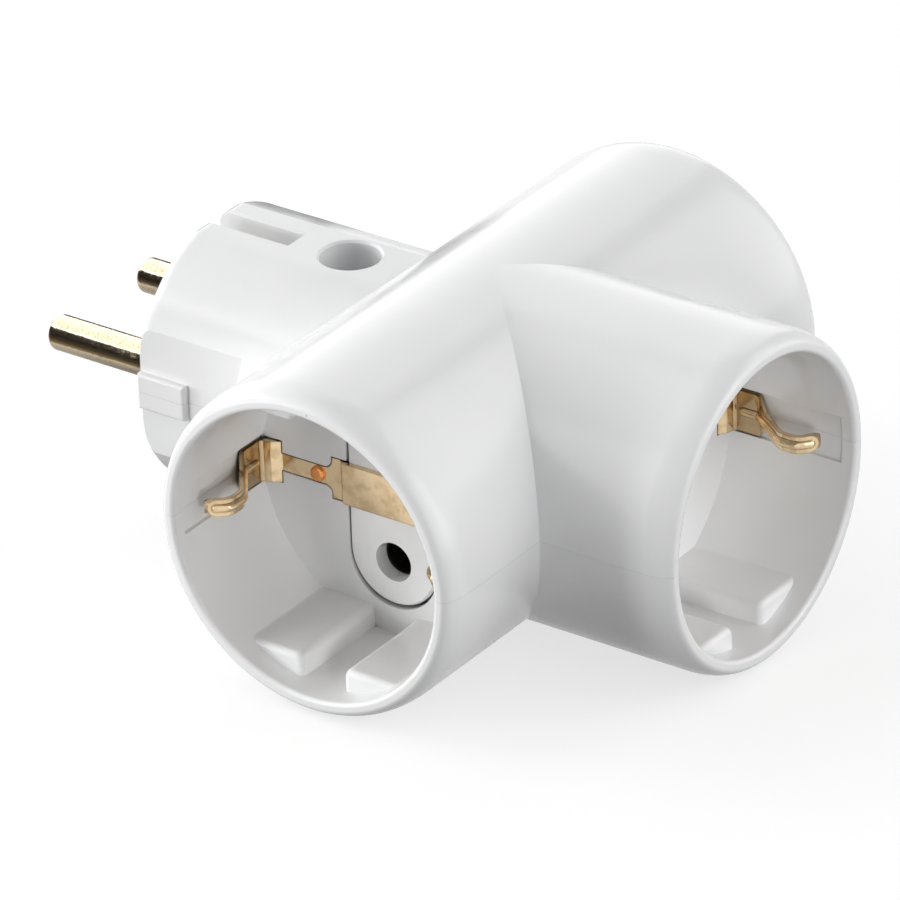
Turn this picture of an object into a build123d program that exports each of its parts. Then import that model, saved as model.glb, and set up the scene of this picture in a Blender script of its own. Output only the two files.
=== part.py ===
from build123d import *
import os

# Three-way adapter for earthed round-pin plugs: a plug at the rear and three sockets in a T.
# Frame in millimetres: the origin is the centre of the plug's face, between the pins.
# The pins point to -X, the front socket opens to +X, the side sockets to -Y and +Y, and +Z is up.

# Plug
pin_r = 2.4
pin_length = 19.0
pin_pitch = 19.0
pin_tip_round = 1.0
root_r = 2.7
collar_r = 3.6
collar_start = 2.6
collar_width = 1.6
shank_r = 2.0
shank_end = 17.0
shank_flat_start = 9.0
shank_flat_height = 1.1
plug_r = 18.6
plug_flat_cut = 0.6
plug_edge_round = 2.0
plug_front_wall = 6.0
plug_wall = 4.2
side_flat_cut = 2.25
side_flat_length = 16.5
rib_height = 0.95
rib_length = 7.4
rib_width = 5.0
rib_round = 0.4
earth_slot_width = 3.6
earth_slot_length = 13.4
earth_slot_break = 0.4
rim_break = 0.3

# Tubes and sockets
junction_x = 43.8
core_wall = 2.6
tube_wall = 2.6
shell_wall = 2.4
lip_length = 4.0
lip_land = 0.5
recess_r = 19.8
recess_depth = 18.9
mouth_round = 0.6
floor_thickness = 2.6
block_rise = 3.4
block_setback = 3.4
block_groove = 6.2
block_round = 1.2
block_front_round = 0.9
block_blend = 1.6
blend_overlap = 0.05
clip_groove_depth = 0.3
clip_groove_setback = 2.0
channel_depth = 0.7
channel_play = 0.15

# Contact carriers
carrier_r = 6.6
carrier_centres = 17.9
carrier_sink = 0.1
carrier_gap = 0.15
carrier_end_gap = 0.5
carrier_chamfer = 0.3
carrier_flange = 1.2
carrier_flange_thickness = 1.5
pin_hole_play = 0.3
pin_hole_lip = 2.2
shroud_wall = 1.25
shroud_length = 4.0
notch_r = 1.5
notch_depth = 1.2

# Contacts and busbars
contact_play = 0.1
contact_wall = 0.6
contact_length = 14.8
contact_slit = 1.2
foot_width = 4.0
foot_thickness = 0.5
busbar_thickness = 1.0
busbar_width = 6.0
busbar_bend_r = 1.2
tail_width = 5.0
riser_setback = 8.0

# Earth strips
sheet = 0.6
strip_width = 5.8
strip_play = 0.4
neck_width = 2.4
neck_round = 1.2
arm_width = 2.4
bridge_rise = 0.65
bridge_overhang = 0.3
step_run = 0.6
band_run = 2.1
inner_facet_run = 1.17
inner_facet_rise = 0.82
ledge_run = 1.02
ledge_rise = 0.26
outer_facet_run = 0.57
outer_facet_rise = 0.4
plate_gap = 0.2
plate_depth = 14.2
arm_taper = 1.6
clip_reach = 4.4
crest_depth = 7.2
crest_half = 1.3
tip_flare = 2.5
tip_rise = 1.9
tip_end = 0.75
step_bend_r = 0.6
crease_bend_r = 0.4
arm_bend_r = 2.0
bead_r = 0.6
bead_shift = 0.2
bead_setback = 1.1
bead_reach = 0.6
rivet_r = 0.7
rivet_head_r = 1.05
rivet_head_height = 0.5
rivet_head_round = 0.35
rivet_tail_height = 0.6
rivet_boss_r = 2.6
rivet_boss_gap = 0.8

# Earth busbar and plug earth contact
earth_bar_thickness = 1.0
earth_bar_width = 10.0
earth_flange_height = 5.0
earth_flange_overlap = 2.2
earth_sheet = 0.8
earth_arm_start = 1.0
earth_bend_r = 1.0

# Screw, posts and pin rivets
screw_x = 22.0
screw_recess_r = 4.0
screw_seat = 3.4
screw_boss_r = 5.4
screw_r = 1.5
screw_length = 13.0
screw_head_r = 2.9
screw_head_height = 2.2
screw_head_round = 0.8
cross_width = 0.9
cross_length = 3.6
cross_depth = 1.2
post_r = 2.6
peg_r = 1.2
peg_length = 3.0
pin_rivet_x = 13.0
pin_rivet_r = 0.9
pin_rivet_head_r = 1.6
pin_rivet_head_height = 0.7

# Fits
fit = 0.05
running = 0.1
parting_gap = 0.02

# Derived radii and offsets from a middle plane
half_pitch = pin_pitch / 2
plug_flat_height = plug_r - plug_flat_cut
plug_cavity_r = plug_r - plug_wall
side_flat_offset = plug_r - side_flat_cut
rib_offset = side_flat_offset + rib_height
earth_slot_floor = plug_cavity_r - earth_slot_break
tube_r = recess_r + tube_wall
lip_top = tube_wall - mouth_round - lip_land
cavity_r = tube_r - shell_wall
block_height = recess_r - block_rise
clip_groove_floor = recess_r + clip_groove_depth
clip_groove_width = strip_width + 2 * strip_play
opening_r = carrier_r + carrier_gap
opening_centres = carrier_centres + 2 * (carrier_end_gap - carrier_gap)
pin_hole_r = pin_r + pin_hole_play
contact_bore_r = pin_r + contact_play
contact_r = contact_bore_r + contact_wall
foot_top = half_pitch + contact_r
bridge_half = carrier_r + bridge_overhang
band_half = bridge_half + band_run
plate_offset = clip_groove_floor - plate_gap - sheet / 2
fold_start = plate_offset - outer_facet_run - ledge_run - inner_facet_run
crest_offset = recess_r - clip_reach
tip_offset = crest_offset + tip_flare
rivet_offset = carrier_r + carrier_flange + rivet_boss_gap + rivet_boss_r
post_offset = rivet_offset + earth_flange_overlap + post_r

# Derived levels, measured inwards from a socket's lip
arm_length = recess_depth + clip_groove_floor + core_wall
carrier_face = recess_depth + carrier_sink
contact_level = carrier_face + pin_hole_lip
channel_floor = recess_depth + channel_depth
floor_back = recess_depth + floor_thickness
flange_level = floor_back + fit
shroud_level = flange_level + carrier_flange_thickness
earth_flange_level = shroud_level + fit
earth_rivet_end = earth_flange_level + earth_bar_thickness
neck_level = channel_floor - fit - sheet / 2
neck_front = neck_level - sheet / 2
bridge_level = neck_level - bridge_rise
ledge_foot = neck_level - inner_facet_rise
ledge_top = ledge_foot - ledge_rise
plate_foot = ledge_top - outer_facet_rise
arm_start = plate_depth - arm_taper
flare_depth = crest_depth - crest_half
tip_depth = flare_depth - tip_rise
foot_level = shroud_level + shroud_length + running
contact_end = contact_level + fit + contact_length

# Derived places of the inner metal
busbar_reach = arm_length - foot_level
busbar_level = foot_top + busbar_thickness / 2
riser_x = junction_x - riser_setback
tail_level = shank_flat_height + busbar_thickness / 2
earth_bar_half = earth_bar_thickness / 2
earth_reach = arm_length - earth_flange_level
earth_web_x = earth_slot_length - running - earth_sheet / 2
earth_tail_x = earth_web_x + earth_sheet / 2 + fit
earth_arm_level = earth_slot_floor + fit + earth_sheet / 2

os.makedirs("parts", exist_ok=True)


def finish(piece, name):
    piece.part.label = name
    export_step(piece.part, f"parts/{name}.step")


# A seat is a socket's lip plane: its Z goes into the socket and its Y is up.
seats = {
    "right": Plane((junction_x, -arm_length, 0), x_dir=(-1, 0, 0), z_dir=(0, 1, 0)),
    "left": Plane((junction_x, arm_length, 0), x_dir=(1, 0, 0), z_dir=(0, -1, 0)),
    "front": Plane((junction_x + arm_length, 0, 0), x_dir=(0, -1, 0), z_dir=(-1, 0, 0)),
}
poles = {"live": 1, "neutral": -1}


def section_plane(seat):
    # Horizontal section of a socket: X across it, Y into it.
    return Plane(seat.origin, x_dir=seat.x_dir, z_dir=-seat.y_dir)


# Hollow inside the housing, with the posts and bosses that stay in it
with BuildPart() as cavity:
    for seat in seats.values():
        with BuildSketch(seat.offset(floor_back)):
            Circle(cavity_r)
        extrude(amount=arm_length - floor_back)
    with BuildSketch(Plane.YZ.offset(plug_front_wall)):
        Circle(plug_cavity_r)
    extrude(amount=junction_x - plug_front_wall)
    with BuildSketch(Plane.XY.offset(-tube_r)):
        with Locations((junction_x, 0)):
            with GridLocations(2 * post_offset, 2 * post_offset, 2, 2):
                Circle(post_r)
    extrude(amount=2 * tube_r, mode=Mode.SUBTRACT)
    for seat in seats.values():
        with BuildSketch(seat.offset(floor_back)):
            with GridLocations(2 * rivet_offset, 0, 2, 1):
                Circle(rivet_boss_r)
        extrude(amount=carrier_flange_thickness + fit, mode=Mode.SUBTRACT)
    with BuildSketch(Plane.XY.offset(earth_bar_half + fit)):
        with Locations((screw_x, 0)):
            Circle(screw_boss_r)
    extrude(amount=plug_r, mode=Mode.SUBTRACT)
    with BuildSketch(Plane.XY.offset(-earth_bar_half - fit)):
        with Locations((screw_x, 0)):
            Circle(screw_boss_r)
    extrude(amount=-plug_r, mode=Mode.SUBTRACT)

# The way a plug takes between the guide blocks, blended into the tube's wall at its corners
with BuildSketch() as plug_way:
    Circle(recess_r + blend_overlap)
    Rectangle(2 * tube_r, 2 * block_height, mode=Mode.INTERSECT)
    fillet(plug_way.vertices(), block_blend)

# Four blocks that guide a plug's flats, set into a tube's wall above and below, drawn at a lip plane
with BuildPart() as guide_blocks:
    with BuildSketch(Plane.XY.offset(block_setback)) as block_outline:
        Circle((recess_r + tube_r) / 2)
        add(plug_way.sketch, mode=Mode.SUBTRACT)
        Rectangle(block_groove, 2 * tube_r, mode=Mode.SUBTRACT)
        fillet(block_outline.vertices().sort_by_distance((0, 0))[:4], block_round)
    extrude(amount=recess_depth - block_setback)
    front_edges = guide_blocks.faces().group_by(Axis.Z)[0].edges().sort_by(SortBy.LENGTH)
    fillet(front_edges[:-2], block_front_round)

# Locating ribs on the plug's side flats, as one bar through the plug
with BuildPart() as ribs:
    with BuildSketch(Plane.YZ):
        Rectangle(2 * rib_offset, rib_width)
    extrude(amount=rib_length)
    fillet(ribs.faces().filter_by(Axis.Y).edges(), rib_round)

# Whole moulding before it is parted
with BuildPart() as moulding:
    with BuildSketch(Plane.YZ):
        Circle(plug_r)
        Rectangle(2 * plug_r, 2 * plug_flat_height, mode=Mode.INTERSECT)
    extrude(amount=junction_x)
    fillet(moulding.edges().group_by(Axis.X)[0], plug_edge_round)
    with BuildSketch(Plane.YZ):
        with GridLocations(2 * plug_r + 2 * side_flat_offset, 0, 2, 1):
            Rectangle(2 * plug_r, 2 * plug_r)
    extrude(amount=side_flat_length, mode=Mode.SUBTRACT)
    add(ribs.part)
    for seat in seats.values():
        with BuildSketch(section_plane(seat)):
            with BuildLine():
                Line((0, arm_length), (tube_r, arm_length))
                Line((tube_r, arm_length), (tube_r, lip_length))
                EllipticalCenterArc((tube_r - lip_top, lip_length), lip_top, lip_length, -90, arc_size=90)
                Line((tube_r - lip_top, 0), (0, 0))
                Line((0, 0), (0, arm_length))
            make_face()
        revolve(axis=Axis(seat.origin, seat.z_dir))
    for seat in seats.values():
        with BuildSketch(section_plane(seat)):
            with BuildLine():
                Line((0, 0), (recess_r + mouth_round, 0))
                RadiusArc((recess_r + mouth_round, 0), (recess_r, mouth_round), mouth_round)
                Line((recess_r, mouth_round), (recess_r, recess_depth))
                Line((recess_r, recess_depth), (0, recess_depth))
                Line((0, recess_depth), (0, 0))
            make_face()
        revolve(axis=Axis(seat.origin, seat.z_dir), mode=Mode.SUBTRACT)
        with Locations(seat):
            add(guide_blocks.part)
        with BuildSketch(seat.offset(clip_groove_setback)):
            Rectangle(2 * clip_groove_floor, clip_groove_width)
        extrude(amount=recess_depth - clip_groove_setback, mode=Mode.SUBTRACT)
        with BuildSketch(seat.offset(recess_depth)) as channel:
            Rectangle(2 * (band_half + channel_play), strip_width + 2 * channel_play)
            Rectangle(2 * recess_r, neck_width + 2 * channel_play)
            with GridLocations(recess_r + fold_start - channel_play, 0, 2, 1):
                Rectangle(recess_r - fold_start + channel_play, strip_width + 2 * channel_play)
            fillet(channel.vertices().sort_by_distance((0, 0))[:4], neck_round - channel_play)
        extrude(amount=channel_depth, mode=Mode.SUBTRACT)
        with BuildSketch(seat.offset(recess_depth)):
            SlotCenterToCenter(opening_centres, 2 * opening_r, rotation=90)
        extrude(amount=floor_thickness, mode=Mode.SUBTRACT)
        with BuildSketch(seat.offset(recess_depth)):
            with GridLocations(2 * rivet_offset, 0, 2, 1):
                Circle(rivet_r + running)
        extrude(amount=earth_flange_level - recess_depth, mode=Mode.SUBTRACT)
    add(cavity.part, mode=Mode.SUBTRACT)
    with BuildSketch(Plane.YZ):
        with GridLocations(pin_pitch, 0, 2, 1):
            Circle(root_r + fit)
    extrude(amount=plug_front_wall, mode=Mode.SUBTRACT)
    with BuildSketch(Plane.YZ.offset(collar_start - fit)):
        with GridLocations(pin_pitch, 0, 2, 1):
            Circle(collar_r + fit)
    extrude(amount=collar_width + 2 * fit, mode=Mode.SUBTRACT)
    for direction in poles.values():
        with BuildSketch(Plane.XY.offset(direction * earth_slot_floor)):
            with Locations((earth_slot_length / 2, 0)):
                Rectangle(earth_slot_length, earth_slot_width)
        extrude(amount=direction * plug_r, mode=Mode.SUBTRACT)
        with BuildSketch(Plane.XY.offset(direction * plug_flat_height)):
            with Locations((earth_slot_length / 2, 0)):
                Rectangle(earth_slot_length + 2 * rim_break, earth_slot_width + 2 * rim_break)
        extrude(amount=-direction * rim_break, taper=45, mode=Mode.SUBTRACT)
    with BuildSketch(Plane.XY.offset(screw_seat)):
        with Locations((screw_x, 0)):
            Circle(screw_recess_r)
    extrude(amount=plug_r, mode=Mode.SUBTRACT)
    with BuildSketch(Plane.XY.offset(plug_flat_height)):
        with Locations((screw_x, 0)):
            Circle(screw_recess_r + rim_break)
    extrude(amount=-rim_break, taper=45, mode=Mode.SUBTRACT)
    with BuildSketch(Plane.XY.offset(screw_seat - screw_length)):
        with Locations((screw_x, 0)):
            Circle(screw_r + fit)
    extrude(amount=screw_length, mode=Mode.SUBTRACT)

with BuildPart() as upper_housing:
    add(moulding.part)
    split(bisect_by=Plane.XY.offset(parting_gap / 2), keep=Keep.TOP)
    with BuildSketch(Plane.XY):
        with Locations((junction_x, 0)):
            with GridLocations(2 * post_offset, 2 * post_offset, 2, 2):
                Circle(peg_r + running)
    extrude(amount=peg_length + running, mode=Mode.SUBTRACT)
finish(upper_housing, "upper_housing")

with BuildPart() as lower_housing:
    add(moulding.part)
    split(bisect_by=Plane.XY.offset(-parting_gap / 2), keep=Keep.BOTTOM)
    with BuildSketch(Plane.XY.offset(-parting_gap / 2)):
        with Locations((junction_x, 0)):
            with GridLocations(2 * post_offset, 2 * post_offset, 2, 2):
                Circle(peg_r)
    extrude(amount=peg_length)
finish(lower_housing, "lower_housing")

# Stadium-shaped carriers in the socket floors, each with two pin holes and the shrouds of its contacts
for side, seat in seats.items():
    with BuildPart() as carrier:
        with BuildSketch(seat.offset(carrier_face)):
            SlotCenterToCenter(carrier_centres, 2 * carrier_r, rotation=90)
        extrude(amount=shroud_level - carrier_face)
        chamfer(carrier.faces().sort_by(Axis(seat.origin, seat.z_dir))[0].edges(), carrier_chamfer)
        with BuildSketch(seat.offset(flange_level)):
            SlotCenterToCenter(carrier_centres, 2 * (carrier_r + carrier_flange), rotation=90)
        extrude(amount=carrier_flange_thickness)
        with BuildSketch(seat.offset(shroud_level)):
            with GridLocations(0, pin_pitch, 1, 2):
                Circle(contact_r + running + shroud_wall)
        extrude(amount=shroud_length)
        with BuildSketch(seat.offset(carrier_face)):
            with GridLocations(0, pin_pitch, 1, 2):
                Circle(pin_hole_r)
        extrude(amount=pin_hole_lip, mode=Mode.SUBTRACT)
        with BuildSketch(seat.offset(contact_level)):
            with GridLocations(0, pin_pitch, 1, 2):
                Circle(contact_r + running)
        extrude(amount=shroud_level + shroud_length - contact_level, mode=Mode.SUBTRACT)
        with BuildSketch(seat.offset(carrier_face)):
            with Locations((carrier_r, half_pitch), (-carrier_r, -half_pitch)):
                Circle(notch_r)
        extrude(amount=notch_depth, mode=Mode.SUBTRACT)
    finish(carrier, f"{side}_carrier")

# Earth strip of each socket: a bridge over the carrier, necks on the floor and a spring clip at each wall
for side, seat in seats.items():
    section = section_plane(seat)
    with BuildPart() as earth_strip:
        with BuildSketch(section):
            with BuildLine():
                FilletPolyline(
                    (0, bridge_level),
                    (bridge_half, bridge_level),
                    (bridge_half + step_run, neck_level),
                    (fold_start, neck_level),
                    (fold_start + inner_facet_run, ledge_foot),
                    (fold_start + inner_facet_run + ledge_run, ledge_top),
                    (plate_offset, plate_foot),
                    (plate_offset, plate_depth),
                    (crest_offset, crest_depth + crest_half),
                    (crest_offset, flare_depth),
                    (tip_offset, tip_depth),
                    radius=2 * [step_bend_r] + 4 * [crease_bend_r] + 3 * [arm_bend_r],
                )
            trace(line_width=sheet)
        extrude(amount=strip_width / 2, both=True)
        with BuildSketch(Plane(seat.origin, x_dir=seat.y_dir, z_dir=seat.x_dir)):
            with BuildLine():
                Polyline(
                    (0, channel_floor),
                    (strip_width / 2, channel_floor),
                    (strip_width / 2, plate_depth),
                    (arm_width / 2, arm_start),
                    (arm_width / 2, tip_depth + tip_end),
                )
                EllipticalCenterArc((0, tip_depth + tip_end), arm_width / 2, tip_end, -90, arc_size=90)
                mirror(about=Plane.YZ)
            make_face()
        extrude(amount=tube_r, mode=Mode.INTERSECT)
        with BuildSketch(seat.offset(bridge_level - sheet)) as neck_cuts:
            with Locations(((band_half + fold_start) / 2, 0)):
                with GridLocations(0, neck_width + strip_width, 1, 2):
                    Rectangle(fold_start - band_half, strip_width)
            fillet(neck_cuts.vertices().group_by(Axis.X)[0], neck_round)
            with Locations((rivet_offset, 0)):
                Circle(rivet_r + fit)
        extrude(amount=bridge_rise + 2 * sheet, mode=Mode.SUBTRACT)
        with BuildLine(section) as bead:
            FilletPolyline(
                (plate_offset - bead_shift, plate_foot - bead_setback),
                (plate_offset - bead_shift, plate_depth),
                (crest_offset - bead_shift, crest_depth + crest_half),
                (crest_offset - bead_shift, flare_depth),
                (crest_offset - bead_shift + bead_reach * tip_flare, flare_depth - bead_reach * tip_rise),
                radius=arm_bend_r,
            )
        with BuildSketch(bead.line ^ 0):
            Circle(bead_r)
        sweep(path=bead.line)
        with Locations(bead.line @ 0, bead.line @ 1):
            Sphere(bead_r)
        mirror(about=Plane(seat.origin, z_dir=seat.x_dir))
    finish(earth_strip, f"{side}_earth_strip")

# Split-tube contacts, two to a socket, each with a flat foot that carries the busbar
for side, seat in seats.items():
    for pole, direction in poles.items():
        with BuildPart() as contact:
            with BuildSketch(seat.offset(contact_level + fit)):
                with Locations((0, direction * half_pitch)):
                    Circle(contact_r)
                    Circle(contact_bore_r, mode=Mode.SUBTRACT)
                with Locations((0, direction * (half_pitch - contact_r))):
                    Rectangle(contact_slit, contact_r, mode=Mode.SUBTRACT)
            extrude(amount=contact_length)
            with BuildSketch(seat.offset(foot_level)):
                with Locations((0, direction * (foot_top - foot_thickness / 2))):
                    Rectangle(foot_width, foot_thickness)
            extrude(amount=contact_end - foot_level)
        finish(contact, f"{side}_{pole}_contact")

# Pins with a collar held in the plug's face and a flat at the inner end for the busbar's tail
for pole, direction in poles.items():
    pin_y = -direction * half_pitch
    with BuildPart() as pin:
        with BuildSketch(Plane((0, pin_y, 0))):
            with BuildLine():
                tip_edge = (-pin_length, pin_r - pin_tip_round)
                tip_side = (pin_tip_round - pin_length, pin_r)
                Polyline(
                    tip_side,
                    (0, pin_r),
                    (0, root_r),
                    (collar_start, root_r),
                    (collar_start, collar_r),
                    (collar_start + collar_width, collar_r),
                    (collar_start + collar_width, shank_r),
                    (shank_end, shank_r),
                    (shank_end, 0),
                    (-pin_length, 0),
                    tip_edge,
                )
                RadiusArc(tip_edge, tip_side, pin_tip_round)
            make_face()
        revolve(axis=Axis((0, pin_y, 0), (1, 0, 0)))
        with BuildSketch(Plane.XY.offset(direction * shank_flat_height)):
            with Locations(((shank_flat_start + shank_end) / 2, pin_y)):
                Rectangle(shank_end - shank_flat_start, 2 * shank_r)
        extrude(amount=direction * shank_r, mode=Mode.SUBTRACT)
        with BuildSketch(Plane.XY):
            with Locations((pin_rivet_x, pin_y)):
                Circle(pin_rivet_r + fit)
        extrude(amount=shank_r, both=True, mode=Mode.SUBTRACT)
    finish(pin, f"{pole}_pin")

# Busbars: a flat T over the contact feet and a tail stepped down to the pin
for pole, direction in poles.items():
    pin_y = -direction * half_pitch
    with BuildPart() as busbar:
        with BuildSketch(Plane.XZ.offset(-pin_y)):
            with BuildLine():
                FilletPolyline(
                    (shank_flat_start + running, direction * tail_level),
                    (riser_x, direction * tail_level),
                    (riser_x, direction * busbar_level),
                    (junction_x, direction * busbar_level),
                    radius=busbar_bend_r,
                )
            trace(line_width=busbar_thickness)
        extrude(amount=tail_width / 2, both=True)
        with BuildSketch(Plane.XY.offset(direction * foot_top)):
            with Locations((junction_x, 0)):
                Rectangle(busbar_width, 2 * busbar_reach)
            with Locations((junction_x + busbar_reach / 2, 0)):
                Rectangle(busbar_reach, busbar_width)
        extrude(amount=direction * busbar_thickness)
        with BuildSketch(Plane.XY):
            with Locations((pin_rivet_x, pin_y)):
                Circle(pin_rivet_r + fit)
        extrude(amount=direction * (tail_level + busbar_thickness), mode=Mode.SUBTRACT)
    finish(busbar, f"{pole}_busbar")

with BuildPart() as pin_rivets:
    for direction in poles.values():
        with BuildSketch(Plane.XY.offset(-direction * shank_flat_height)):
            with Locations((pin_rivet_x, -direction * half_pitch)):
                Circle(pin_rivet_r)
        extrude(amount=direction * (2 * shank_flat_height + busbar_thickness))
        with BuildSketch(Plane.XY.offset(direction * (shank_flat_height + busbar_thickness))):
            with Locations((pin_rivet_x, -direction * half_pitch)):
                Circle(pin_rivet_head_r)
        extrude(amount=direction * pin_rivet_head_height)
finish(pin_rivets, "pin_rivets")

# Earth busbar: one plate between the halves with a flange turned up and down behind each socket floor
with BuildPart() as earth_busbar:
    with BuildSketch(Plane.XY.offset(-earth_bar_half)):
        with Locations((junction_x, 0)):
            Rectangle(earth_bar_width, 2 * earth_reach)
        with Locations(((earth_tail_x + junction_x + earth_reach) / 2, 0)):
            Rectangle(junction_x + earth_reach - earth_tail_x, earth_bar_width)
        with Locations((screw_x, 0)):
            Circle(screw_r + running, mode=Mode.SUBTRACT)
    extrude(amount=earth_bar_thickness)
    for seat in seats.values():
        with BuildSketch(seat.offset(earth_flange_level)):
            Rectangle(2 * (rivet_offset + earth_flange_overlap), earth_flange_height)
        extrude(amount=earth_bar_thickness)
        with BuildSketch(seat.offset(earth_flange_level)):
            with GridLocations(2 * rivet_offset, 0, 2, 1):
                Circle(rivet_r + fit)
        extrude(amount=earth_bar_thickness, mode=Mode.SUBTRACT)
finish(earth_busbar, "earth_busbar")

# Rivets through the strip's necks, the socket floors and the earth busbar's flanges
with BuildPart() as earth_rivets:
    for seat in seats.values():
        with BuildSketch(seat.offset(neck_front)):
            with GridLocations(2 * rivet_offset, 0, 2, 1):
                Circle(rivet_head_r)
        extrude(amount=-rivet_head_height)
        head_faces = earth_rivets.faces(Select.LAST).group_by(Axis(seat.origin, seat.z_dir))[0]
        fillet(head_faces.edges(), rivet_head_round)
        with BuildSketch(seat.offset(neck_front)):
            with GridLocations(2 * rivet_offset, 0, 2, 1):
                Circle(rivet_r)
        extrude(amount=earth_rivet_end - neck_front)
        with BuildSketch(seat.offset(earth_rivet_end)):
            with GridLocations(2 * rivet_offset, 0, 2, 1):
                Circle(rivet_head_r)
        extrude(amount=rivet_tail_height)
finish(earth_rivets, "earth_rivets")

# Plug earth contact: a bracket with an arm in each earth slot and a web that meets the earth busbar
with BuildPart() as plug_earth_contact:
    with BuildSketch(Plane.XZ):
        with BuildLine():
            FilletPolyline(
                (earth_arm_start, earth_arm_level),
                (earth_web_x, earth_arm_level),
                (earth_web_x, -earth_arm_level),
                (earth_arm_start, -earth_arm_level),
                radius=earth_bend_r,
            )
        trace(line_width=earth_sheet)
    extrude(amount=earth_slot_width / 2 - running, both=True)
finish(plug_earth_contact, "plug_earth_contact")

with BuildPart() as housing_screw:
    with BuildSketch(Plane.XY.offset(screw_seat)):
        with Locations((screw_x, 0)):
            Circle(screw_head_r)
    extrude(amount=screw_head_height)
    fillet(housing_screw.edges().group_by(Axis.Z)[-1], screw_head_round)
    with BuildSketch(Plane.XY.offset(screw_seat)):
        with Locations((screw_x, 0)):
            Circle(screw_r)
    extrude(amount=running - screw_length)
    with BuildSketch(Plane.XY.offset(screw_seat + screw_head_height)):
        with Locations((screw_x, 0)):
            Rectangle(cross_length, cross_width)
            Rectangle(cross_width, cross_length)
    extrude(amount=-cross_depth, mode=Mode.SUBTRACT)
finish(housing_screw, "housing_screw")
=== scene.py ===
import math
import bpy
from mathutils import Matrix, Vector


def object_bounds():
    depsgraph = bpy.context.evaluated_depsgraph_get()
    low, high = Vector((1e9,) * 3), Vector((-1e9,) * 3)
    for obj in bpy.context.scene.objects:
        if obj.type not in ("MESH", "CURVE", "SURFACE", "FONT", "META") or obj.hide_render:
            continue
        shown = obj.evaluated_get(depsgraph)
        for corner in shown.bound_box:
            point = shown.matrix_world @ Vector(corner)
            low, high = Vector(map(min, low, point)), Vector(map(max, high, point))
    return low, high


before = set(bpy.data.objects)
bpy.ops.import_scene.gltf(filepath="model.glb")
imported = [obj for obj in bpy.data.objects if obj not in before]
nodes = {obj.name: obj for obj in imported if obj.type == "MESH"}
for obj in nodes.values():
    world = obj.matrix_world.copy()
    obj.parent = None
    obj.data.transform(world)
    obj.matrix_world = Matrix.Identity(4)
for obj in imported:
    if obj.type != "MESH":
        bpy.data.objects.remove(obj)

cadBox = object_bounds()  # the CAD model's box, before anything is added
print("loaded", len(nodes), "nodes")


def link(tree, fromSocket, toSocket):
    tree.links.new(fromSocket, toSocket)


def give(tree, value, socket):  # another node's output, or a plain value
    if isinstance(value, bpy.types.NodeSocket):
        link(tree, value, socket)
    else:
        socket.default_value = value


def newFinish(name):
    finish = bpy.data.materials.new(name)
    finish.use_nodes = True
    tree = finish.node_tree
    shader = tree.nodes["Principled BSDF"]
    coords = tree.nodes.new("ShaderNodeTexCoord")
    return finish, tree, shader, coords.outputs["Object"]


def stretched(tree, coords, scale, turn=0):  # coordinates pulled out, or turned about Z, to follow a piece
    mapping = tree.nodes.new("ShaderNodeMapping")
    mapping.inputs["Scale"].default_value = scale
    mapping.inputs["Rotation"].default_value = (0, 0, math.radians(turn))
    link(tree, coords, mapping.inputs["Vector"])
    return mapping.outputs["Vector"]


def noise(tree, coords, scale, detail=3, rough=0.5):
    texture = tree.nodes.new("ShaderNodeTexNoise")
    texture.inputs["Scale"].default_value = scale
    texture.inputs["Detail"].default_value = detail
    texture.inputs["Roughness"].default_value = rough
    link(tree, coords, texture.inputs["Vector"])
    return texture.outputs["Fac"]


def ramp(tree, factor, stops):  # stops are (place, colour)
    node = tree.nodes.new("ShaderNodeValToRGB")
    points = node.color_ramp.elements
    while len(points) < len(stops):
        points.new(0.5)
    for point, (place, colour) in zip(points, stops):
        point.position = place
        point.color = (*colour, 1)
    link(tree, factor, node.inputs["Fac"])
    return node.outputs["Color"]


def spread(tree, factor, low, high, start=0.3, end=0.7):  # noise between start and end becomes low to high
    node = tree.nodes.new("ShaderNodeMapRange")
    node.inputs["From Min"].default_value = start
    node.inputs["From Max"].default_value = end
    node.inputs["To Min"].default_value = low
    node.inputs["To Max"].default_value = high
    link(tree, factor, node.inputs["Value"])
    return node.outputs["Result"]


def mixed(tree, factor, colour, other):  # colour, going over to the other as the factor rises to 1
    mix = tree.nodes.new("ShaderNodeMix")
    mix.data_type = "RGBA"
    link(tree, factor, mix.inputs["Factor"])
    give(tree, colour, mix.inputs["A"])
    mix.inputs["B"].default_value = (*other, 1)
    return mix.outputs["Result"]


def sums(tree, operation, *terms):
    node = tree.nodes.new("ShaderNodeMath")
    node.operation = operation
    for term, socket in zip(terms, node.inputs):
        give(tree, term, socket)
    return node.outputs["Value"]


def measured(tree, operation, *vectors):  # a length or a dot product
    node = tree.nodes.new("ShaderNodeVectorMath")
    node.operation = operation
    for vector, socket in zip(vectors, node.inputs):
        link(tree, vector, socket)
    return node.outputs["Value"]


def along(tree, coords, axis):  # one coordinate of the three
    node = tree.nodes.new("ShaderNodeSeparateXYZ")
    link(tree, coords, node.inputs["Vector"])
    return node.outputs[axis]


def bump(tree, shader, height, strength, distance):
    node = tree.nodes.new("ShaderNodeBump")
    node.inputs["Strength"].default_value = strength
    node.inputs["Distance"].default_value = distance
    link(tree, height, node.inputs["Height"])
    link(tree, node.outputs["Normal"], shader.inputs["Normal"])


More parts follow.
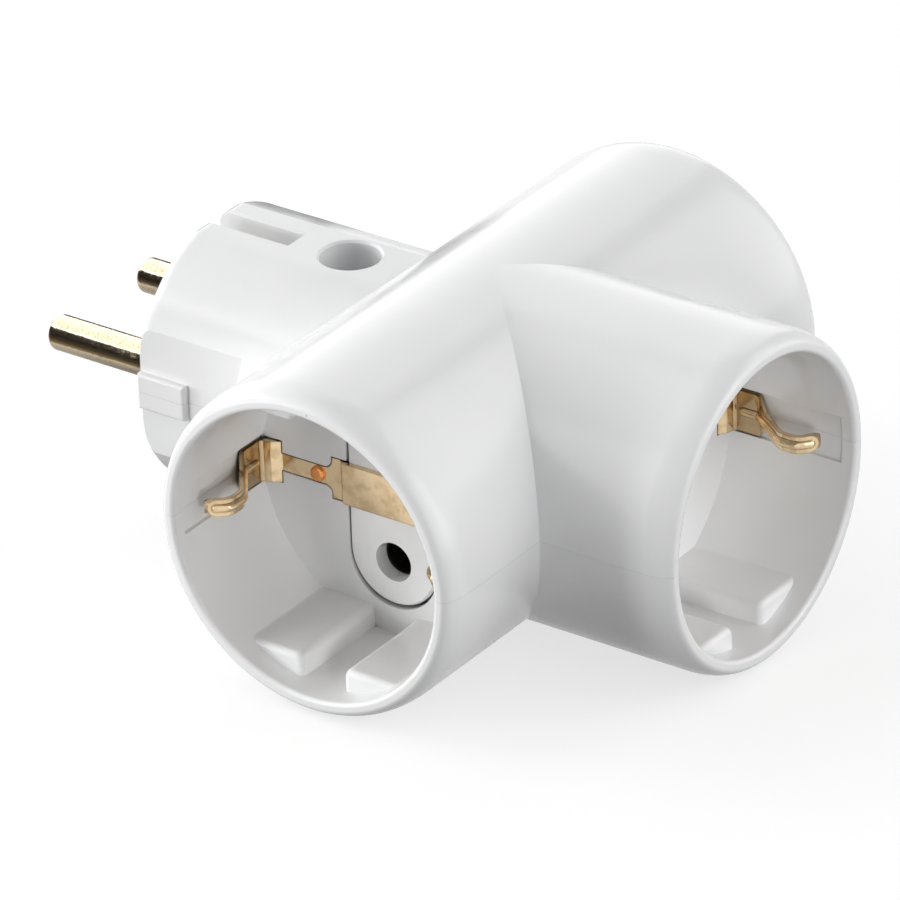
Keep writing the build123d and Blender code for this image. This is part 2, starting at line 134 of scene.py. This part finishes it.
mouldedWhite = {
    "pale": (0.885, 0.885, 0.885),
    "deep": (0.855, 0.858, 0.865),
    "cloudScale": 55,  # per metre: patches about 18 mm across
    "speck": (0.42, 0.40, 0.37),
    "speckScale": 75,  # per metre: one speck to a cell of about 13 mm
    "speckSize": 0.008,
    "speckDepth": 0.55,
    # colour of the painted shade in narrow gaps
    "gapShadeColour": (0.04, 0.04, 0.04),
    "gapShadeReach": 0.0015,  # gaps narrower than about this go dark inside, as painted shade
    "gapShadeOpen": (0.15, 0.35),  # how open a place is where the painted shade is full and where it ends
    "gapShadeSamples": 8,
    "glossLow": 0.15,
    "glossHigh": 0.24,
    "glossScale": 300,
    "skinScale": 240,
    "skinStrength": 0.12,
    "skinDepth": 0.00012,
    "ior": 1.53,
}


def specked(tree, coords, colour, s):  # sparse dark specks over a colour
    cells = tree.nodes.new("ShaderNodeTexVoronoi")
    cells.inputs["Scale"].default_value = s["speckScale"]
    link(tree, coords, cells.inputs["Vector"])
    dots = spread(tree, cells.outputs["Distance"], s["speckDepth"], 0, s["speckSize"], 2 * s["speckSize"])
    return mixed(tree, dots, colour, s["speck"])


def paintedGapShade(tree, colour, s):  # painted shade: dark inside the parting lines and the gaps round the carriers
    closed = tree.nodes.new("ShaderNodeAmbientOcclusion")
    closed.samples = s["gapShadeSamples"]
    closed.inputs["Distance"].default_value = s["gapShadeReach"]
    return mixed(tree, spread(tree, closed.outputs["AO"], 1, 0, *s["gapShadeOpen"]), colour, s["gapShadeColour"])


def housingFinish(s):
    finish, tree, shader, coords = newFinish("mouldedWhite")
    cloud = noise(tree, coords, s["cloudScale"], detail=4)
    colour = ramp(tree, cloud, [(0.3, s["deep"]), (0.7, s["pale"])])
    colour = specked(tree, coords, colour, s)
    link(tree, paintedGapShade(tree, colour, s), shader.inputs["Base Color"])
    sheen = noise(tree, coords, s["glossScale"])
    link(tree, spread(tree, sheen, s["glossLow"], s["glossHigh"]), shader.inputs["Roughness"])
    skin = noise(tree, coords, s["skinScale"], detail=2)
    bump(tree, shader, skin, s["skinStrength"], s["skinDepth"])
    shader.inputs["IOR"].default_value = s["ior"]
    return finish


carrierWhite = {
    "pale": (0.93, 0.93, 0.93),
    "deep": (0.89, 0.89, 0.895),
    "cloudScale": 160,
    "glossLow": 0.30,
    "glossHigh": 0.42,
    "glossScale": 700,
    "skinStrength": 0.15,
    "skinDepth": 0.00008,
}


def carrierFinish(s):
    finish, tree, shader, coords = newFinish("carrierWhite")
    cloud = noise(tree, coords, s["cloudScale"], detail=4)
    link(tree, ramp(tree, cloud, [(0.3, s["deep"]), (0.7, s["pale"])]), shader.inputs["Base Color"])
    grain = noise(tree, coords, s["glossScale"])
    link(tree, spread(tree, grain, s["glossLow"], s["glossHigh"]), shader.inputs["Roughness"])
    bump(tree, shader, grain, s["skinStrength"], s["skinDepth"])
    return finish


rolledBrass = {
    "bright": (0.80, 0.62, 0.39),
    "tarnish": (0.64, 0.47, 0.27),
    "stainScale": 500,
    "wall": (0.34, 0.23, 0.12),  # painted shade where the strip stands inside the socket against its wall
    "wallReach": 0.0016,
    "wallDulling": 0.65,
    # colour of the painted shade and dark reflection at edges and folds
    "edge": (0.16, 0.08, 0.03),
    "edgeShadeReach": 0.0003,  # how far the painted shade of the cut and folded edges runs in
    "edgeTurn": (0.80, 0.97),  # cosine of the turn where the painted shade is full and where it ends
    "edgeShadeDepth": 0.8,
    "grainScale": 500,
    "grainPull": (0.12, 1, 1),  # rolling lines run along the strip
    "grainStrength": 0.30,
    "grainDepth": 0.00005,
    "roughLow": 0.09,
    "roughHigh": 0.22,
}


def walled(tree, coords, colour, s, strip, axis):  # painted shade at both ends of the strip, where it stands against the socket's wall
    ends = [corner[axis] for corner in strip.bound_box]
    middle = (max(ends) + min(ends)) / 2
    start = (max(ends) - min(ends)) / 2 - s["wallReach"]
    out = sums(tree, "ABSOLUTE", sums(tree, "SUBTRACT", along(tree, coords, axis), middle))
    dull = spread(tree, out, 0, s["wallDulling"], start, start + s["wallReach"] / 2)
    return mixed(tree, dull, colour, s["wall"])


def paintedEdgeShade(tree, colour, s):  # painted shade and painted dark reflection where the surface turns
    rounded = tree.nodes.new("ShaderNodeBevel")
    rounded.inputs["Radius"].default_value = s["edgeShadeReach"]
    flat = tree.nodes.new("ShaderNodeNewGeometry")
    facing = measured(tree, "DOT_PRODUCT", rounded.outputs["Normal"], flat.outputs["Normal"])
    return mixed(tree, spread(tree, facing, s["edgeShadeDepth"], 0, *s["edgeTurn"]), colour, s["edge"])


def brassFinish(name, s, strip, axis, turn):  # the strip runs along this axis
    finish, tree, shader, coords = newFinish(name)
    stain = noise(tree, coords, s["stainScale"], detail=5, rough=0.6)
    colour = ramp(tree, stain, [(0.36, s["tarnish"]), (0.56, s["bright"])])
    colour = walled(tree, coords, colour, s, strip, axis)
    link(tree, paintedEdgeShade(tree, colour, s), shader.inputs["Base Color"])
    grain = noise(tree, stretched(tree, coords, s["grainPull"], turn), s["grainScale"], detail=4)
    link(tree, spread(tree, grain, s["roughLow"], s["roughHigh"]), shader.inputs["Roughness"])
    bump(tree, shader, grain, s["grainStrength"], s["grainDepth"])
    shader.inputs["Metallic"].default_value = 1
    return finish


turnedPin = {
    "bright": (0.70, 0.59, 0.43),
    "dull": (0.46, 0.36, 0.22),
    "spotScale": 2600,
    "roughLow": 0.08,
    "roughHigh": 0.16,
    "lineScale": 1800,
    "linePull": (1, 0.6, 0.6),  # fine marks, a little longer round the pin
    "lineStrength": 0.55,
    "lineDepth": 0.00006,
}


def pinFinish(s):
    finish, tree, shader, coords = newFinish("turnedPin")
    spots = noise(tree, coords, s["spotScale"], detail=5, rough=0.65)
    link(tree, ramp(tree, spots, [(0.30, s["dull"]), (0.48, s["bright"])]), shader.inputs["Base Color"])
    link(tree, spread(tree, spots, s["roughHigh"], s["roughLow"]), shader.inputs["Roughness"])
    lines = noise(tree, stretched(tree, coords, s["linePull"]), s["lineScale"], detail=4)
    bump(tree, shader, lines, s["lineStrength"], s["lineDepth"])
    shader.inputs["Metallic"].default_value = 1
    return finish


smallMetal = {
    "blotchScale": 700,
    "skinStrength": 0.2,
    "skinDepth": 0.00004,
    "kinds": {  # (bright, dull, roughness low, roughness high)
        # the contacts are near black: painted shade down the pin holes
        "contactPaintedShade": ((0.07, 0.06, 0.05), (0.03, 0.03, 0.02), 0.40, 0.60),
        "contactNickel": ((0.62, 0.61, 0.59), (0.46, 0.45, 0.43), 0.26, 0.42),
        "innerBrass": ((0.72, 0.56, 0.33), (0.50, 0.37, 0.20), 0.28, 0.45),
        "rivetCopper": ((0.80, 0.34, 0.12), (0.58, 0.22, 0.07), 0.24, 0.38),
        "screwZinc": ((0.74, 0.74, 0.73), (0.52, 0.52, 0.52), 0.22, 0.40),
    },
}


def metalFinish(name, s):
    bright, dull, roughLow, roughHigh = s["kinds"][name]
    finish, tree, shader, coords = newFinish(name)
    blotch = noise(tree, coords, s["blotchScale"], detail=5, rough=0.6)
    link(tree, ramp(tree, blotch, [(0.35, dull), (0.6, bright)]), shader.inputs["Base Color"])
    link(tree, spread(tree, blotch, roughHigh, roughLow), shader.inputs["Roughness"])
    bump(tree, shader, blotch, s["skinStrength"], s["skinDepth"])
    shader.inputs["Metallic"].default_value = 1
    return finish


def dress(finish, *names):  # every slot of these nodes takes the finish
    for name in names:
        mesh = nodes[name].data
        for index in range(len(mesh.materials)):
            mesh.materials[index] = finish


sockets = ("right", "left", "front")
contacts = [f"{side}_{pole}_contact" for side in sockets for pole in ("live", "neutral")]
brassAcross = brassFinish("brassAcross", rolledBrass, nodes["right_earth_strip"], axis=0, turn=0)
brassAlong = brassFinish("brassAlong", rolledBrass, nodes["front_earth_strip"], axis=1, turn=90)
small = {name: metalFinish(name, smallMetal) for name in smallMetal["kinds"]}
dress(housingFinish(mouldedWhite), "upper_housing", "lower_housing")
dress(carrierFinish(carrierWhite), *(f"{side}_carrier" for side in sockets))
dress(brassAcross, "right_earth_strip", "left_earth_strip")
dress(brassAlong, "front_earth_strip")
dress(pinFinish(turnedPin), "live_pin", "neutral_pin")
dress(small["contactPaintedShade"], *contacts)
dress(small["innerBrass"], "live_busbar", "neutral_busbar", "earth_busbar")
dress(small["contactNickel"], "plug_earth_contact")
dress(small["rivetCopper"], "earth_rivets", "pin_rivets")
dress(small["screwZinc"], "housing_screw")
print("finishes are on")


floorSettings = {
    "size": 3.0,
    "rough": 0.9,
    "colour": (0.40, 0.40, 0.40),
    "bounce": (0.05, 0.05, 0.05),  # what the object's underside gets back from it
    "glow": 0.70,  # lifts the lit floor to white for the camera, shadows stay
    "glossGlow": 0.62,  # the same in reflections, away from the object's own shade
    "shadeReach": (0.022, 0.055),  # where that shade starts to thin out and where it ends
}


def addFloor(s):
    bpy.ops.object.select_all(action="DESELECT")
    bpy.ops.mesh.primitive_plane_add(size=s["size"], location=(0, 0, cadBox[0].z))
    floor = bpy.context.object
    floor.name = "floor"
    finish, tree, shader, coords = newFinish("paleFloor")
    finish.cycles.emission_sampling = "NONE"  # its glow lights nothing
    shader.inputs["Roughness"].default_value = s["rough"]
    shader.inputs["Specular IOR Level"].default_value = 0
    shader.inputs["Emission Color"].default_value = (1, 1, 1, 1)
    rays = tree.nodes.new("ShaderNodeLightPath")
    camera = rays.outputs["Is Camera Ray"]
    glossy = rays.outputs["Is Glossy Ray"]
    seen = sums(tree, "MAXIMUM", camera, glossy)
    link(tree, mixed(tree, seen, (*s["bounce"], 1), s["colour"]), shader.inputs["Base Color"])
    clear = spread(tree, measured(tree, "LENGTH", coords), 0, s["glossGlow"], *s["shadeReach"])
    glow = sums(tree, "MULTIPLY_ADD", camera, s["glow"], sums(tree, "MULTIPLY", glossy, clear))
    link(tree, glow, shader.inputs["Emission Strength"])
    floor.data.materials.append(finish)


worldSettings = {
    "ambient": 0.06,
    "tint": (0.95, 0.975, 1.0),
    "seen": (1, 1, 1),  # what the camera and reflections see
}


def addWorld(s):
    world = bpy.data.worlds.new("studio")
    bpy.context.scene.world = world
    world.use_nodes = True
    tree = world.node_tree
    rays = tree.nodes.new("ShaderNodeLightPath")
    seen = sums(tree, "MAXIMUM", rays.outputs["Is Camera Ray"], rays.outputs["Is Glossy Ray"])
    seen = sums(tree, "MAXIMUM", seen, rays.outputs["Is Transmission Ray"])
    dim = [s["ambient"] * channel for channel in s["tint"]]
    link(tree, mixed(tree, seen, (*dim, 1), s["seen"]), tree.nodes["Background"].inputs["Color"])


lamps = {  # (place, size, power in watts, seen in reflections), all aimed at the middle of the object
    "highLeftLamp": ((-0.60, -0.20, 0.90), 0.90, 1.8, True),
    "leftLamp": ((-1.00, -0.28, 0.30), 0.90, 4.5, True),
    "frontLeftLamp": ((-0.75, -0.65, 0.35), 0.90, 4.4, True),
    "rightLamp": ((1.00, 0.10, 0.35), 0.90, 4.4, True),
    "backRightLamp": ((0.70, 0.70, 0.50), 1.20, 5.2, True),
    "backLeftLamp": ((-0.70, 0.70, 0.50), 1.20, 4.8, True),
    "farLeftLamp": ((-0.95, -0.35, 0.06), 0.24, 2.6, False),
    "lowLeftLamp": ((-0.60, -0.80, 0.10), 0.24, 2.1, False),
    "lowRightLamp": ((0.80, -0.60, 0.10), 0.24, 2.5, False),
    "mouthLamp": ((-0.06, -0.17, 0.005), 0.06, 0.065, False),
}


def addLamps(lamps):
    middle = (cadBox[0] + cadBox[1]) / 2
    for name, (place, size, power, reflected) in lamps.items():
        turn = (Vector(place) - middle).to_track_quat("Z", "Y").to_euler()
        bpy.ops.object.light_add(type="AREA", location=place, rotation=turn)
        lamp = bpy.context.object
        lamp.name = name
        lamp.data.size = size
        lamp.data.energy = power
        lamp.visible_glossy = reflected


cards = {  # (way out, near edge, far edge, width, height, shift) of backdrops that the pins reflect
    "frontLeftCard": ((-0.60, -0.80), 0.046, 0.60, 0.135, 0.47, -0.052),
    "backLeftCard": ((-0.59, 0.81), 0.100, 0.105, 0.045, 0.042, 0.0),
}
cardShades = [  # from the floor up
    (0.0, (0.34, 0.28, 0.20)),
    (0.02, (0.08, 0.07, 0.05)),
    (0.06, (0.0, 0.0, 0.0)),
]


def addCards(cards, shades):
    finish, tree, shader, coords = newFinish("darkCard")
    finish.cycles.emission_sampling = "NONE"
    shader.inputs["Base Color"].default_value = (0, 0, 0, 1)
    shader.inputs["Specular IOR Level"].default_value = 0
    shader.inputs["Emission Strength"].default_value = 1
    upward = along(tree, coords.node.outputs["UV"], axis=1)
    link(tree, ramp(tree, upward, shades), shader.inputs["Emission Color"])
    for name, (way, near, far, width, height, shift) in cards.items():
        out = Vector((*way, 0))
        slope = (out * (far - near) + Vector((0, 0, height))).normalized()
        across = slope.cross(out).normalized()
        place = out * (near + far) / 2 + across * shift + Vector((0, 0, cadBox[0].z + height / 2))
        turn = Matrix((across, slope, across.cross(slope))).transposed().to_euler()
        bpy.ops.object.select_all(action="DESELECT")
        bpy.ops.mesh.primitive_plane_add(size=1, location=place, rotation=turn)
        card = bpy.context.object
        card.name = name
        card.scale = (width, math.hypot(far - near, height), 1)
        card.visible_camera = False
        card.visible_diffuse = False
        card.visible_shadow = False
        card.data.materials.append(finish)


cameraSettings = {
    "azimuth": 36.152,  # degrees round from looking along +Y
    "elevation": 28.442,
    "roll": -1.923,
    "offset": (0.030084, -0.014529, 1.090268),  # right, up and back from the origin, metres
    "lens": 336.95,
    "sensor": 36,
    "clipEnd": 10,
}


def addCamera(s):
    azimuth, elevation, roll = (math.radians(s[key]) for key in ("azimuth", "elevation", "roll"))
    back = Vector((
        math.sin(azimuth) * math.cos(elevation),
        -math.cos(azimuth) * math.cos(elevation),
        math.sin(elevation),
    ))
    right = Vector((math.cos(azimuth), math.sin(azimuth), 0))
    up = back.cross(right)
    across = math.cos(roll) * right + math.sin(roll) * up
    upright = math.cos(roll) * up - math.sin(roll) * right
    axes = Matrix((across, upright, back)).transposed()
    bpy.ops.object.camera_add(location=axes @ Vector(s["offset"]), rotation=axes.to_euler())
    camera = bpy.context.object
    camera.data.lens = s["lens"]
    camera.data.sensor_width = s["sensor"]
    camera.data.clip_end = s["clipEnd"]
    bpy.context.scene.camera = camera


addFloor(floorSettings)
addWorld(worldSettings)
addLamps(lamps)
addCards(cards, cardShades)
addCamera(cameraSettings)
bpy.context.scene.view_settings.view_transform = "Standard"
print("stage, lamps and camera are set")
